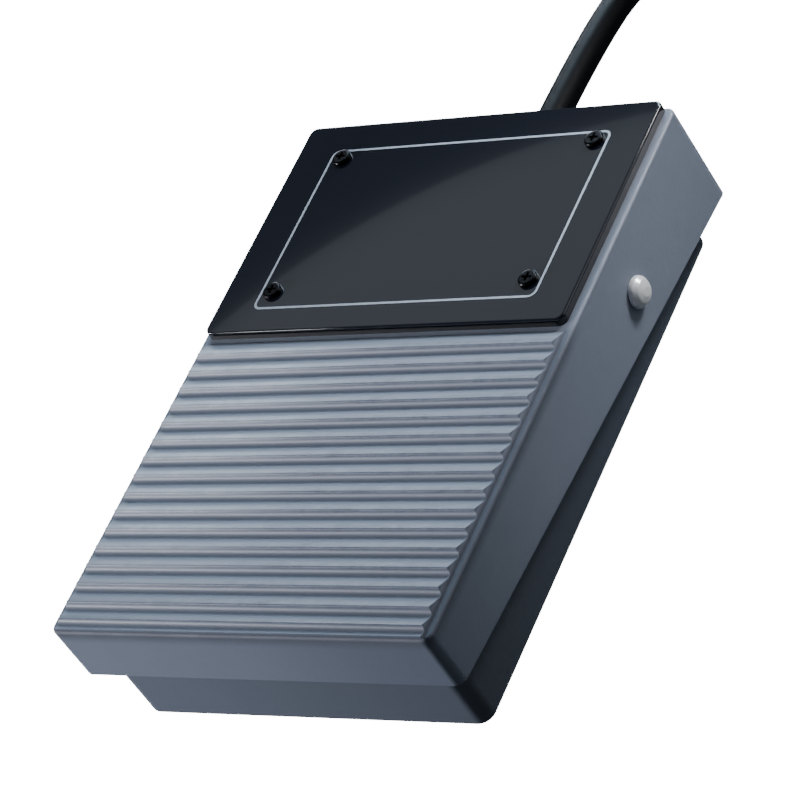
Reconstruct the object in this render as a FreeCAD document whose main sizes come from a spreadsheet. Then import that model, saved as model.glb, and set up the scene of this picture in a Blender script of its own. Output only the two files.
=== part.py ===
"""Desk foot pedal: a skirted cast cover that tilts on a cross pin over a base tray and works a microswitch.

X runs across the pedal, Y towards the cord, Z up from the floor. Millimetres.
"""

import FreeCAD, Part

import math
import os
import re

import Sketcher
from FreeCAD import Placement, Rotation, Vector

doc = FreeCAD.newDocument("FootPedal")
sheet = doc.addObject("Spreadsheet::Sheet", "Sizes")
aliases = []
nodes = []


def sizes(title, **values):
    """Writes one group of driving dimensions to the sheet, each under its own word."""
    for alias, value in values.items():
        row = str(len(aliases) + 1)
        sheet.set("A" + row, title)
        sheet.set("B" + row, str(value))
        sheet.setAlias("B" + row, alias)
        aliases.append(alias)
    doc.recompute()


def size(alias):
    return float(sheet.get(alias))


def formula(text):
    """Points the words of a formula at the sheet's cells."""
    return re.sub(r"[a-z][a-z_]+", lambda m: "Sizes." + m.group() if m.group() in aliases else m.group(), str(text))


def number(text):
    """A formula's value now, for the few places that need it as a plain number."""
    return float(sheet.evalExpression(formula(text)))


def bind(thing, prop, text):
    thing.setExpression(prop, formula(text))


def body(name):
    """A sub-part: one body whose label is also the name of its file."""
    made = doc.addObject("PartDesign::Body", name)
    made.Label = name
    made.AllowCompound = True
    nodes.append(made)
    return made


def sketch(part, name, plane, level=0):
    """An empty sketch on one of the body's own planes, moved along the plane's normal by level."""
    made = part.newObject("Sketcher::SketchObject", name)
    made.AttachmentSupport = [(next(f for f in part.Origin.OriginFeatures if f.Role == plane + "_Plane"), "")]
    made.MapMode = "FlatFace"
    bind(made, "AttachmentOffset.Base.z", level)
    return made


def fix(drawn, kind, element, place, text):
    """One distance from the sketch's origin, bound to the sheet."""
    value = number(text)
    index = drawn.addConstraint(Sketcher.Constraint(kind, -1, 1, element, place, value))
    drawn.setExpression("Constraints[%d]" % index, formula(text))


def outline(part, name, plane, level, *loops):
    """A sketch of closed straight-sided loops. Each corner is a pair of formulas."""
    drawn = sketch(part, name, plane, level)
    for corners in loops:
        spots = [Vector(number(u), number(v), 0) for u, v in corners]
        first = drawn.GeometryCount
        last = first + len(spots) - 1
        for i, spot in enumerate(spots):
            drawn.addGeometry(Part.LineSegment(spot, spots[(i + 1) % len(spots)]))
        for i, (u, v) in enumerate(corners):
            after = first if first + i == last else first + i + 1
            drawn.addConstraint(Sketcher.Constraint("Coincident", first + i, 2, after, 1))
            fix(drawn, "DistanceX", first + i, 1, u)
            fix(drawn, "DistanceY", first + i, 1, v)
    return drawn


def block(x_low, x_high, y_low, y_high):
    """The four corners of a rectangle, for outline."""
    return [(x_low, y_low), (x_high, y_low), (x_high, y_high), (x_low, y_high)]


def rounds(part, name, plane, level, radius, *centres):
    """A sketch of equal circles."""
    drawn = sketch(part, name, plane, level)
    for u, v in centres:
        index = drawn.addGeometry(Part.Circle(Vector(number(u), number(v), 0), Vector(0, 0, 1), number(radius)))
        fix(drawn, "DistanceX", index, 3, u)
        fix(drawn, "DistanceY", index, 3, v)
        at = drawn.addConstraint(Sketcher.Constraint("Radius", index, number(radius)))
        drawn.setExpression("Constraints[%d]" % at, formula(radius))
    return drawn


def swept(kind, part, drawn, length, way):
    before = part.Tip.Shape.Volume if kind == "Pocket" else 0
    made = part.newObject("PartDesign::" + kind, drawn.Name + "_" + kind.lower())
    made.Profile = drawn
    bind(made, "Length", length)
    made.SideType = "Symmetric" if way == "both" else "One side"
    made.Reversed = way == "back"
    doc.recompute()
    if kind == "Pocket" and part.Tip.Shape.Volume > before - 0.001:
        raise RuntimeError(drawn.Label + " cuts nothing")
    return made


def pad(part, drawn, length, way="up"):
    return swept("Pad", part, drawn, length, way)


def cut(part, drawn, length, way="up"):
    return swept("Pocket", part, drawn, length, way)


def turned(part, drawn, axis="V_Axis"):
    """A full revolve of a sketch about one of its own axes."""
    made = part.newObject("PartDesign::Revolution", drawn.Name + "_turned")
    made.Profile = drawn
    made.ReferenceAxis = (drawn, [axis])
    made.Angle = 360
    doc.recompute()
    return made


def soften(part, name, radius, pick, kind="Fillet"):
    """Rounds, or chamfers, the edges of the body that pick accepts."""
    base = part.Tip
    found = ["Edge%d" % (i + 1) for i, edge in enumerate(base.Shape.Edges) if pick(edge)]
    if not found:
        raise RuntimeError(name + " finds no edge")
    made = part.newObject("PartDesign::" + kind, name)
    made.Base = (base, found)
    bind(made, "Radius" if kind == "Fillet" else "Size", radius)
    doc.recompute()
    return made


def middle(edge):
    return edge.valueAt((edge.FirstParameter + edge.LastParameter) / 2)


def along(edge, axis):
    """True for a straight edge that runs along one axis."""
    if edge.Curve.TypeId != "Part::GeomLine":
        return False
    return abs(edge.tangentAt(edge.FirstParameter).dot(axis)) > 0.999


X_WAY = Vector(1, 0, 0)
Y_WAY = Vector(0, 1, 0)
Z_WAY = Vector(0, 0, 1)

# Driving dimensions, group by group

sizes(
    "pedal cover",
    pedal_front=-50.15,
    pedal_rear=50.8,
    pedal_width=69.4,
    land_height=24.1,
    underside=20.5,
    front_skirt=10.25,
    rear_skirt=18.31,
    skirt_wall=1.95,
    front_wall=1.7,
    pedal_corner=1.6,
    hollow_corner=0.8,
    pedal_edge=0.5,
    crest_height=25.4,
    tread_top=33.1,
    tread_foot=33.65,
    tread_front=-49.85,
    tread_rear=5.8,
    tread_pitch=3.437,
    tread_depth=1.15,
    tread_drop=0.45,
    first_crest=6.247,
    pitched_ribs=16,
    last_crest=-48.13,
    crest_round=0.25,
    groove_round=0.8,
    pivot_back=21.6,
    pivot_height=14.85,
    pin_radius=2.0,
    running_gap=0.05,
    cord_height=11.35,
    notch_half=6.0,
    notch_top=17.5,
)
sizes(
    "plate",
    plate_left=33.85,
    plate_right=33.15,
    plate_front=6.9,
    plate_rear=50.9,
    plate_thick=1.55,
    plate_corner=1.4,
    screw_side=24.0,
    screw_front=15.0,
    screw_rear=43.2,
    plate_screw_radius=1.0,
    plate_screw_head=1.6,
    plate_screw_end=21.3,
)
sizes(
    "pressing on the switch and the spring",
    spring_y=-20.0,
    spring_boss=4.2,
    adjuster_y=-4.2,
    adjuster_radius=1.25,
    adjuster_tip=16.92,
    adjuster_top=22.0,
    adjuster_boss=19.4,
    nut_flat=2.5,
    nut_thick=1.6,
)
sizes("ribs inside the cover", rib_side=14.0, rib_half=0.8, rib_front=-42.5, rib_rear=0.0, rib_end=18.9, stud_end=18.0)
sizes("plate screw heads", head_rise=0.75, recess_half=0.85, recess_slot=0.22, recess_deep=0.4)
sizes("lock nut", nut_point=2.8868)
sizes(
    "base tray",
    base_half=31.6,
    base_front=-47.9,
    base_rear=45.0,
    base_wall=2.6,
    base_bottom=1.2,
    base_floor=3.2,
    base_top=20.4,
    base_corner=2.4,
    tub_corner=1.0,
    press_slope=0.0787,
    ear_radius=5.0,
    ear_thick=1.5,
    relief_neck=3.8,
    foot_side=23.0,
    foot_front=-38.0,
    foot_rear=36.5,
    foot_radius=4.5,
    foot_deep=0.5,
)
sizes(
    "board posts",
    post_radius=2.5,
    board_under=6.2,
    post_a_x=-24.0,
    post_a_y=-35.2,
    post_b_x=-13.8,
    post_b_y=-15.0,
)
sizes("cord clamp", clamp_half=9.5, clamp_front=33.0, clamp_rear=38.0, cord_radius=2.55, clamp_screw_x=6.4)
sizes(
    "holes for the base's screws",
    bracket_screw_x=-8.6,
    bracket_screw_front=-0.5,
    bracket_screw_rear=5.0,
    small_screw=1.0,
    floor_screw_end=2.0,
)
sizes("clamp screw", clamp_screw=1.25, clamp_screw_end=5.0)
sizes(
    "pivot",
    head_radius=2.5,
    head_gap=0.15,
    dome_rise=1.7,
    cap_radius=3.1,
    cap_rise=2.2,
    cap_grip=2.0,
    washer_radius=4.0,
    washer_thick=1.0,
)
sizes("return spring", spring_mean=5.5, spring_wire=0.6, spring_turns=6.5, spring_clear=0.05)
sizes(
    "switch case",
    case_left=-2.9,
    case_open=2.1,
    case_right=2.9,
    case_front=-4.0,
    case_rear=8.8,
    case_low=7.4,
    case_high=13.9,
    case_wall=0.8,
    cavity_low=9.8,
    switch_hole=0.95,
    switch_hole_front=-0.85,
    switch_hole_rear=5.65,
    switch_hole_height=8.6,
    lever_y=7.8,
    lever_z=14.4,
    ear_near=1.3,
)
sizes(
    "switch insides",
    plunger_y=4.6,
    plunger_half_x=0.8,
    plunger_half_y=0.5,
    plunger_low=12.075,
    plunger_high=14.72,
    collar_half=1.3,
    collar_low=12.55,
    collar_high=13.05,
    blade_hinge=-2.8,
    blade_end=6.6,
    blade_low=11.775,
    blade_high=12.025,
    blade_half=0.9,
    contact_y=6.0,
    contact_radius=0.7,
    contact_thick=0.35,
    open_top=10.62,
    closed_low=12.425,
    leaf_thick=0.3,
    pole_half=0.25,
    pole_end=4.2,
    open_pole=2.4,
    closed_pole=7.45,
)
sizes("hinge lever", lever_long=13.0, lever_half=1.2, lever_thick=0.3, lever_eye=0.42, lever_pivot=0.3, lever_rise=10.9)
sizes(
    "switch bracket",
    sheet_thick=1.2,
    bracket_reach=-12.5,
    bracket_front=-4.5,
    bracket_rear=9.0,
    bracket_high=11.5,
    bracket_bend=1.0,
)
sizes(
    "controller board",
    board_left=-27.0,
    board_right=-11.0,
    board_front=-38.0,
    board_rear=-6.0,
    board_thick=1.2,
    chip_x=-19.0,
    chip_y=-23.5,
    chip_half=3.5,
    chip_thick=1.2,
    crystal_y=-31.5,
    capacitor_x=-23.8,
    capacitor_y=-28.6,
    header_left=-24.6,
    header_right=-17.4,
    header_front=-13.0,
    header_rear=-8.0,
    header_high=11.0,
)
sizes("wires", lead_radius=0.5, core_radius=0.5)
sizes(
    "strain relief",
    relief_flange=5.0,
    relief_flange_thick=1.6,
    relief_root=4.2,
    relief_tip=3.1,
    relief_end=59.0,
    relief_slot=0.55,
)
sizes(
    "cord route",
    coil_outer=34.7,
    coil_pitch=5.3,
    coil_layer=5.3,
    coil_turns=9.11111,
    coil_rest=3.05,
    coil_start=-40.0,
    coil_y=158.0,
    lead_corner=101.5,
    lead_landing=18.0,
    tail_first=14.3,
    plug_axis=4.05,
)
sizes("coil tie", tie_thick=0.5, tie_half=3.5, tie_gap=0.15, tie_turn=200.0)
sizes(
    "plug",
    boot_neck=9.0,
    boot_long=28.0,
    boot_half=7.8,
    boot_deep=4.0,
    boot_round=1.6,
    shell_half=6.0,
    shell_deep=2.25,
    shell_thick=0.35,
    shell_out=12.5,
    shell_in=3.0,
    tongue_half=5.5,
    tongue_thick=1.8,
    contact_wide=0.5,
)

# The pedal cover: outline, skirt and tread


pedal = body("pedal_cover")
side = outline(
    pedal,
    "cover_side",
    "YZ",
    0,
    [
        ("pedal_front", "land_height - front_skirt"),
        ("pedal_rear", "land_height - rear_skirt"),
        ("pedal_rear", "land_height"),
        ("pedal_front", "land_height"),
    ],
)
pad(pedal, side, "pedal_width", "both")
soften(pedal, "cover_corners", "pedal_corner", lambda e: along(e, Z_WAY))
soften(
    pedal,
    "cover_rim",
    "pedal_edge",
    lambda e: all(abs(v.Point.z - size("land_height")) < 0.01 for v in e.Vertexes),
)
hollow = outline(
    pedal,
    "cover_hollow",
    "XY",
    "underside",
    block(
        "skirt_wall - pedal_width / 2",
        "pedal_width / 2 - skirt_wall",
        "pedal_front + front_wall",
        "pedal_rear - skirt_wall",
    ),
)
cut(pedal, hollow, "underside")
inner_side = size("pedal_width") / 2 - size("skirt_wall")
soften(
    pedal,
    "hollow_corners",
    "hollow_corner",
    lambda e: along(e, Z_WAY) and abs(abs(middle(e).x) - inner_side) < 0.01,
)

# The pedal cover's underside: two stiffening ribs, the spring's stud and the adjusting screw's boss

under = [
    block("%srib_side - rib_half" % side_sign, "%srib_side + rib_half" % side_sign, "rib_front", "rib_rear")
    for side_sign in ("-", "")
]
pad(pedal, outline(pedal, "cover_ribs", "XY", "underside + 0.2", *under), "underside + 0.2 - rib_end", "back")
stud = rounds(pedal, "spring_stud", "XY", "underside + 0.2", "spring_boss", (0, "spring_y"))
pad(pedal, stud, "underside + 0.2 - stud_end", "back")
boss = rounds(pedal, "adjuster_boss_round", "XY", "underside + 0.2", "adjuster_radius + 2", (0, "adjuster_y"))
pad(pedal, boss, "underside + 0.2 - adjuster_boss", "back")
bore = rounds(pedal, "adjuster_bore", "XY", "adjuster_top", "adjuster_radius", (0, "adjuster_y"))
cut(pedal, bore, "adjuster_top - adjuster_boss + 1")

# The tread: a block raised on the cover's land, with one saw-tooth groove repeated towards the toe

tread_block = [
    ("-tread_foot", "land_height"),
    ("-tread_foot", "land_height - 0.5"),
    ("tread_foot", "land_height - 0.5"),
    ("tread_foot", "land_height"),
    ("tread_top", "crest_height"),
    ("-tread_top", "crest_height"),
]
pad(pedal, outline(pedal, "tread_block", "XZ", "-tread_rear", tread_block), "tread_rear - tread_front")


def groove(name, crest):
    """The space in front of one rib: a steep drop at its crest, then a long rise to the next crest."""
    return outline(
        pedal,
        name,
        "YZ",
        0,
        [
            (crest, "crest_height + 1"),
            (crest, "crest_height"),
            (crest + " - tread_drop", "crest_height - tread_depth"),
            (crest + " - tread_pitch", "crest_height"),
            (crest + " - tread_pitch", "crest_height + 1"),
        ],
    )


first_groove = cut(pedal, groove("tread_groove", "first_crest"), "pedal_width + 4", "both")
tread = pedal.newObject("PartDesign::LinearPattern", "tread")
tread.Originals = [first_groove]
tread.Direction = (first_groove.Profile[0], ["H_Axis"])
tread.Reversed = True
tread.Mode = "Spacing"
bind(tread, "Offset", "tread_pitch")
bind(tread, "Occurrences", "pitched_ribs")
pedal.Tip = tread
doc.recompute()
cut(pedal, groove("toe_groove", "last_crest"), "pedal_width + 4", "both")
crests = [size("first_crest") - i * size("tread_pitch") for i in range(int(size("pitched_ribs")))]


def is_crest(edge):
    at = middle(edge)
    high = at.z > size("crest_height") - 0.02
    return along(edge, X_WAY) and high and min(abs(at.y - crest) for crest in crests) < 0.01


def is_groove_bottom(edge):
    at = middle(edge)
    low = abs(at.z - size("crest_height") + size("tread_depth")) < 0.01
    behind = [crest - size("tread_drop") for crest in crests[1:] + [size("last_crest")]]
    return along(edge, X_WAY) and low and min(abs(at.y - place) for place in behind) < 0.01


soften(pedal, "worn_crests", "crest_round", is_crest)
soften(pedal, "groove_bottoms", "groove_round", is_groove_bottom)

# The pedal cover's holes: pin, cord notch and plate screws

pin_bore = rounds(pedal, "cover_pin_bore", "YZ", 0, "pin_radius + running_gap", ("pivot_back", "pivot_height"))
cut(pedal, pin_bore, "pedal_width + 4", "both")
notch = outline(pedal, "cord_notch", "XZ", "-pedal_rear - 1", block("-notch_half", "notch_half", 0, "notch_top"))
cut(pedal, notch, "skirt_wall + 2", "back")
soften(
    pedal,
    "notch_arch",
    "notch_half - 0.5",
    lambda e: along(e, Y_WAY) and abs(middle(e).z - size("notch_top")) < 0.01 and middle(e).y > 40,
)
screw_spots = [
    (sign + "screw_side", place)
    for sign in ("-", "")
    for place in ("screw_front", "screw_rear")
]
holes = rounds(pedal, "plate_screw_holes", "XY", "land_height", "plate_screw_radius", *screw_spots)
cut(pedal, holes, "land_height - plate_screw_end")

# The glossy plate on the cover's rear land, and its screws

plate = body("cover_plate")
plate_outline = block("-plate_left", "plate_right", "plate_front", "plate_rear")
pad(plate, outline(plate, "plate_face", "XY", "land_height", plate_outline), "plate_thick")
soften(plate, "plate_corners", "plate_corner", lambda e: along(e, Z_WAY))
soften(
    plate,
    "plate_rim",
    "plate_thick / 4",
    lambda e: all(abs(v.Point.z - size("land_height") - size("plate_thick")) < 0.01 for v in e.Vertexes),
)
plate_holes = rounds(plate, "plate_holes", "XY", "land_height", "plate_screw_radius", *screw_spots)
cut(plate, plate_holes, "plate_thick", "back")

plate_top = "land_height + plate_thick"
screws = body("plate_screws")
pad(screws, rounds(screws, "screw_heads", "XY", plate_top, "plate_screw_head", *screw_spots), "head_rise")
soften(
    screws,
    "head_domes",
    "head_rise / 2",
    lambda e: middle(e).z > number(plate_top + " + head_rise") - 0.01,
)
shanks = rounds(screws, "screw_shanks", "XY", plate_top, "plate_screw_radius", *screw_spots)
pad(screws, shanks, plate_top + " - plate_screw_end", "back")
for way, (wide, deep) in {"across": ("recess_half", "recess_slot"), "down": ("recess_slot", "recess_half")}.items():
    slots = [
        block("%s - %s" % (u, wide), "%s + %s" % (u, wide), "%s - %s" % (v, deep), "%s + %s" % (v, deep))
        for u, v in screw_spots
    ]
    cut(screws, outline(screws, "recess_" + way, "XY", plate_top + " + head_rise", *slots), "recess_deep")

# The adjusting screw with its ball nose, and the lock nut

adjuster = body("actuator_screw")
nose = rounds(adjuster, "adjuster_rod", "XY", "adjuster_tip", "adjuster_radius", (0, "adjuster_y"))
pad(adjuster, nose, "adjuster_top - adjuster_tip")
soften(
    adjuster,
    "ball_nose",
    "adjuster_radius * 0.98",
    lambda e: abs(middle(e).z - size("adjuster_tip")) < 0.01,
)

nut = body("actuator_nut")
hexagon = [
    ("nut_point * %.6f" % math.cos(math.radians(60 * k)), "adjuster_y + nut_point * %.6f" % math.sin(math.radians(60 * k)))
    for k in range(6)
]
pad(nut, outline(nut, "nut_hexagon", "XY", "adjuster_boss - nut_thick", hexagon), "nut_thick")
cut(nut, rounds(nut, "nut_bore", "XY", "adjuster_boss", "adjuster_radius", (0, "adjuster_y")), "nut_thick")

# The base tray: a cast tub whose side walls slope to meet the pressed cover

base = body("base_tray")
base_outline = block("-base_half", "base_half", "base_front", "base_rear")
pad(base, outline(base, "tub_outline", "XY", "base_bottom", base_outline), "base_top - base_bottom")
soften(base, "tub_corners", "base_corner", lambda e: along(e, Z_WAY))
soften(
    base,
    "tub_foot_edge",
    "base_bottom * 0.6",
    lambda e: all(abs(v.Point.z - size("base_bottom")) < 0.01 for v in e.Vertexes),
)
tub_hollow = block(
    "base_wall - base_half", "base_half - base_wall", "base_front + base_wall", "base_rear - base_wall"
)
cut(base, outline(base, "tub_hollow", "XY", "base_top", tub_hollow), "base_top - base_floor")
tub_side = size("base_half") - size("base_wall")
soften(
    base,
    "tub_inner_corners",
    "tub_corner",
    lambda e: along(e, Z_WAY) and abs(abs(middle(e).x) - tub_side) < 0.01,
)
slope_front = "base_top - (pivot_back - base_front + 2) * press_slope"
slope = [("base_front - 2", slope_front), ("pivot_back", "base_top"), ("base_front - 2", "base_top + 2")]
cut(base, outline(base, "wall_slope", "YZ", 0, slope), "base_half * 2 + 2", "both")

# The base tray's ears, posts and seats

for name, level, way in (
    ("ear_right", "base_half - base_wall", "back"),
    ("ear_left", "base_wall - base_half", "up"),
):
    ear = rounds(base, name, "YZ", level, "ear_radius", ("pivot_back", "pivot_height"))
    pad(base, ear, "ear_thick", way)
pad(base, rounds(base, "spring_seat", "XY", "base_floor", "spring_boss", (0, "spring_y")), "2")
posts = rounds(base, "board_posts", "XY", "base_floor", "post_radius", ("post_a_x", "post_a_y"), ("post_b_x", "post_b_y"))
pad(base, posts, "board_under - base_floor")
bed = outline(base, "clamp_bed", "XY", "base_floor", block("-clamp_half", "clamp_half", "clamp_front", "clamp_rear"))
pad(base, bed, "cord_height - base_floor")
channel = rounds(base, "cord_channel", "XZ", "-clamp_front + 1", "cord_radius", (0, "cord_height"))
cut(base, channel, "clamp_rear - clamp_front + 2", "up")
base_pin_hole = rounds(base, "base_pin_hole", "YZ", 0, "pin_radius", ("pivot_back", "pivot_height"))
cut(base, base_pin_hole, "base_half * 2 + 2", "both")
relief_hole = rounds(base, "relief_hole", "XZ", "-base_rear - 1", "relief_neck", (0, "cord_height"))
cut(base, relief_hole, "base_wall + 2", "back")
foot_spots = [(sign + "foot_side", place) for sign in ("-", "") for place in ("foot_front", "foot_rear")]
cut(base, rounds(base, "foot_recesses", "XY", "base_bottom", "foot_radius", *foot_spots), "foot_deep", "back")

floor_screws = [("bracket_screw_x", "bracket_screw_front"), ("bracket_screw_x", "bracket_screw_rear")]
cut(
    base,
    rounds(base, "bracket_holes", "XY", "base_floor", "small_screw", *floor_screws),
    "base_floor - floor_screw_end",
)
board_spots = [("post_a_x", "post_a_y"), ("post_b_x", "post_b_y")]
cut(base, rounds(base, "post_holes", "XY", "board_under", "small_screw", *board_spots), "board_under - floor_screw_end")
clamp_spots = [("-clamp_screw_x", "(clamp_front + clamp_rear) / 2"), ("clamp_screw_x", "(clamp_front + clamp_rear) / 2")]
cut(base, rounds(base, "clamp_holes", "XY", "cord_height", "clamp_screw", *clamp_spots), "cord_height - clamp_screw_end")

feet = body("rubber_feet")
pad(feet, rounds(feet, "foot_discs", "XY", 0, "foot_radius", *foot_spots), "base_bottom + foot_deep")
soften(feet, "foot_edges", 0.4, lambda e: abs(middle(e).z) < 0.01, "Chamfer")

# The pivot: pin with a domed head, push-on cap and two washers


def dome(part, name, sign, radius, rise):
    """A domed button on the pin's axis, standing out from the pedal's side. Its axis is the body's own X."""
    start = "(pedal_width / 2 + head_gap)"
    corners = [
        (start, 0),
        (start, radius),
        ("%s + %s * 0.35" % (start, rise), radius),
        ("%s + %s * 0.8" % (start, rise), radius + " * 0.72"),
        ("%s + %s" % (start, rise), radius + " * 0.3"),
        ("%s + %s" % (start, rise), 0),
    ]
    if sign < 0:
        corners = [("-(%s)" % u, v) for u, v in corners]
    turned(part, outline(part, name, "XZ", 0, corners), "H_Axis")
    low, high = number("%s + %s * 0.3" % (start, rise)), number("%s + %s * 0.9" % (start, rise))
    soften(
        part,
        name + "_curve",
        0.6,
        lambda e: low < abs(middle(e).x) < high and e.Curve.TypeId == "Part::GeomCircle",
    )


pin_place = Placement(Vector(0, size("pivot_back"), size("pivot_height")), Rotation())
pin = body("pivot_pin")
dome(pin, "pin_head", 1, "head_radius", "dome_rise")
rod = rounds(pin, "pin_rod", "YZ", "-pedal_width / 2 - cap_grip + 0.4", "pin_radius", (0, 0))
pad(pin, rod, "pedal_width + cap_grip - 0.4 + head_gap")
pin.Placement = pin_place

cap = body("pin_cap")
dome(cap, "cap_dome", -1, "cap_radius", "cap_rise")
cut(cap, rounds(cap, "cap_bore", "YZ", "-pedal_width / 2", "pin_radius", (0, 0)), "cap_grip - 0.4")
cap.Placement = pin_place

washers = body("pivot_washers")
for name, level, way in (("washer_right", "base_half", "up"), ("washer_left", "-base_half", "back")):
    pad(washers, rounds(washers, name, "YZ", level, "washer_radius", (0, 0)), "washer_thick", way)
cut(washers, rounds(washers, "washer_bores", "YZ", 0, "pin_radius + running_gap", (0, 0)), "base_half * 3", "both")
washers.Placement = pin_place

# Round wire and cord: straight runs joined by tangent arcs, and biarcs for loops


def bend(corner, before, after, reach):
    """The arc that rounds a corner, starting and ending at reach from it."""
    start = corner + (before - corner).normalize() * reach
    end = corner + (after - corner).normalize() * reach
    half_chord = (end - start).Length / 2
    chord_middle = (start + end) / 2
    top = chord_middle + (corner - chord_middle) * (half_chord / (reach + half_chord))
    return Part.Arc(start, top, end).toShape(), start, end


def route(points):
    """A path of straight runs with the largest arc that each pair of runs allows, and the arcs' radii."""
    edges = []
    radii = []
    at = points[0]
    for before, corner, after in zip(points, points[1:], points[2:]):
        shorter = min((corner - before).Length, (after - corner).Length)
        half_turn = (corner - before).getAngle(after - corner) / 2
        arc, start, end = bend(corner, before, after, 0.45 * shorter)
        edges += [Part.LineSegment(at, start).toShape(), arc]
        radii.append(0.45 * shorter / math.tan(half_turn))
        at = end
    edges.append(Part.LineSegment(at, points[-1]).toShape())
    return Part.Wire(edges), radii


def tube(wire, radius):
    """A round tube along a wire."""
    first = wire.OrderedEdges[0]
    start = first.valueAt(first.FirstParameter)
    way = first.tangentAt(first.FirstParameter)
    ring = Part.Wire([Part.makeCircle(radius, start, way)])
    shape = wire.makePipeShell([ring], True, False)
    expected = math.pi * radius**2 * wire.Length
    if abs(shape.Volume / expected - 1) > 0.02:
        raise RuntimeError("a tube's volume is %.1f, not %.1f" % (shape.Volume, expected))
    return shape


def biarc(start, start_way, end, end_way):
    """Two arcs that leave start along start_way and reach end along end_way."""
    span = end - start
    ways = start_way + end_way
    flat = 2 * (1 - start_way.dot(end_way))
    reach = (-span.dot(ways) + math.sqrt(span.dot(ways) ** 2 + flat * span.dot(span))) / flat
    near = start + start_way * reach
    far = end - end_way * reach
    meet = (near + far) / 2
    return [bend(near, start, meet, reach)[0], bend(far, meet, end, reach)[0]]


def loops(place, turns, steps_each):
    """Biarcs along a curve given by its place at each count of turns, with its least distance to itself."""
    count = round(turns * steps_each)
    small = 1e-4
    spots = [place(turns * i / count) for i in range(count + 1)]
    ways = [
        (place(turns * i / count + small) - place(turns * i / count - small)).normalize() for i in range(count + 1)
    ]
    edges = []
    for i in range(count):
        edges += biarc(spots[i], ways[i], spots[i + 1], ways[i + 1])
    return edges


def least_gap(wire, radius, skip):
    """The least air between stretches of a tube that are more than skip apart along it."""
    points = wire.discretize(Distance=1.5)
    step = wire.Length / (len(points) - 1)
    apart = int(skip / step) + 1
    least = min(
        (points[i] - points[j]).Length for i in range(0, len(points), 2) for j in range(i + apart, len(points), 2)
    )
    return least - 2 * radius


def shaped(name, shape):
    """A sub-part whose shape has no feature of its own, such as a wound cord."""
    made = doc.addObject("Part::Feature", name)
    made.Label = name
    made.Shape = shape
    made.Placement = Placement()
    nodes.append(made)
    return made


# The return spring: a compression coil between the tub's floor and the cover

spring_low = size("base_floor") + size("spring_wire") + size("spring_clear")
spring_rise = size("underside") - size("spring_wire") - size("spring_clear") - spring_low


def spring_place(turned_by):
    angle = 2 * math.pi * turned_by
    return Vector(
        size("spring_mean") * math.cos(angle),
        size("spring_y") + size("spring_mean") * math.sin(angle),
        spring_low + spring_rise * turned_by / size("spring_turns"),
    )


spring_wire = Part.Wire(loops(spring_place, size("spring_turns"), 4))
shaped("return_spring", tube(spring_wire, size("spring_wire")))
print("return spring: least gap to itself %.2f mm" % least_gap(spring_wire, size("spring_wire"), 8))

# The microswitch: case, side cover, plunger, hinge lever, snap blade and three terminals

case = body("switch_case")
pad(
    case,
    outline(case, "case_side", "YZ", "case_left", block("case_front", "case_rear", "case_low", "case_high")),
    "case_open - case_left",
)
cavity = block("case_front + case_wall", "case_rear - case_wall", "cavity_low", "case_high - case_wall")
cut(case, outline(case, "case_cavity", "YZ", "case_open", cavity), "case_open - case_left - case_wall")
slot = block(
    "-plunger_half_x - 0.1", "plunger_half_x + 0.1", "plunger_y - plunger_half_y - 0.05", "plunger_y + plunger_half_y + 0.05"
)
cut(case, outline(case, "plunger_slot", "XY", "case_high", slot), "case_wall")
for sign, way in (("-", "up"), ("", "back")):
    lug = block("lever_y - 0.8", "lever_y + 0.8", "case_high - 0.1", "lever_z + 0.7")
    drawn = outline(case, "lever_ear" + ("_left" if sign else "_right"), "YZ", sign + "(ear_near + case_wall)", lug)
    pad(case, drawn, "case_wall", way)
cut(case, rounds(case, "lever_holes", "YZ", 0, 0.35, ("lever_y", "lever_z")), 8, "both")
switch_holes = [("switch_hole_front", "switch_hole_height"), ("switch_hole_rear", "switch_hole_height")]
cut(case, rounds(case, "case_screw_holes", "YZ", "case_open", "switch_hole", *switch_holes), "case_open - case_left")
pole_gaps = [
    block("-0.5", "0.5", "%s - pole_half" % pole, "%s + pole_half" % pole)
    for pole in ("blade_hinge", "open_pole", "closed_pole")
]
cut(case, outline(case, "pole_slots", "XY", "cavity_low", *pole_gaps), "cavity_low - case_low")

cover = body("switch_cover")
cover_side = block("case_front", "case_rear", "case_low", "case_high")
pad(cover, outline(cover, "cover_outline", "YZ", "case_open", cover_side), "case_right - case_open")
cover_holes = rounds(cover, "cover_screw_holes", "YZ", "case_right", "switch_hole", *switch_holes)
cut(cover, cover_holes, "case_right - case_open")
soften(
    cover,
    "cover_edges",
    0.2,
    lambda e: abs(middle(e).x - size("case_right")) < 0.01 and along(e, Y_WAY),
    "Chamfer",
)

plunger = body("switch_plunger")
stem = block(
    "-plunger_half_x", "plunger_half_x", "plunger_y - plunger_half_y", "plunger_y + plunger_half_y"
)
pad(plunger, outline(plunger, "plunger_stem", "XY", "plunger_low", stem), "plunger_high - plunger_low")
soften(
    plunger,
    "plunger_nose",
    "plunger_half_y * 0.6",
    lambda e: along(e, X_WAY) and abs(middle(e).z - size("plunger_high")) < 0.01,
)
collar = block("-collar_half", "collar_half", "plunger_y - plunger_half_y", "plunger_y + plunger_half_y")
pad(plunger, outline(plunger, "plunger_collar", "XY", "collar_low", collar), "collar_high - collar_low")

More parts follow.
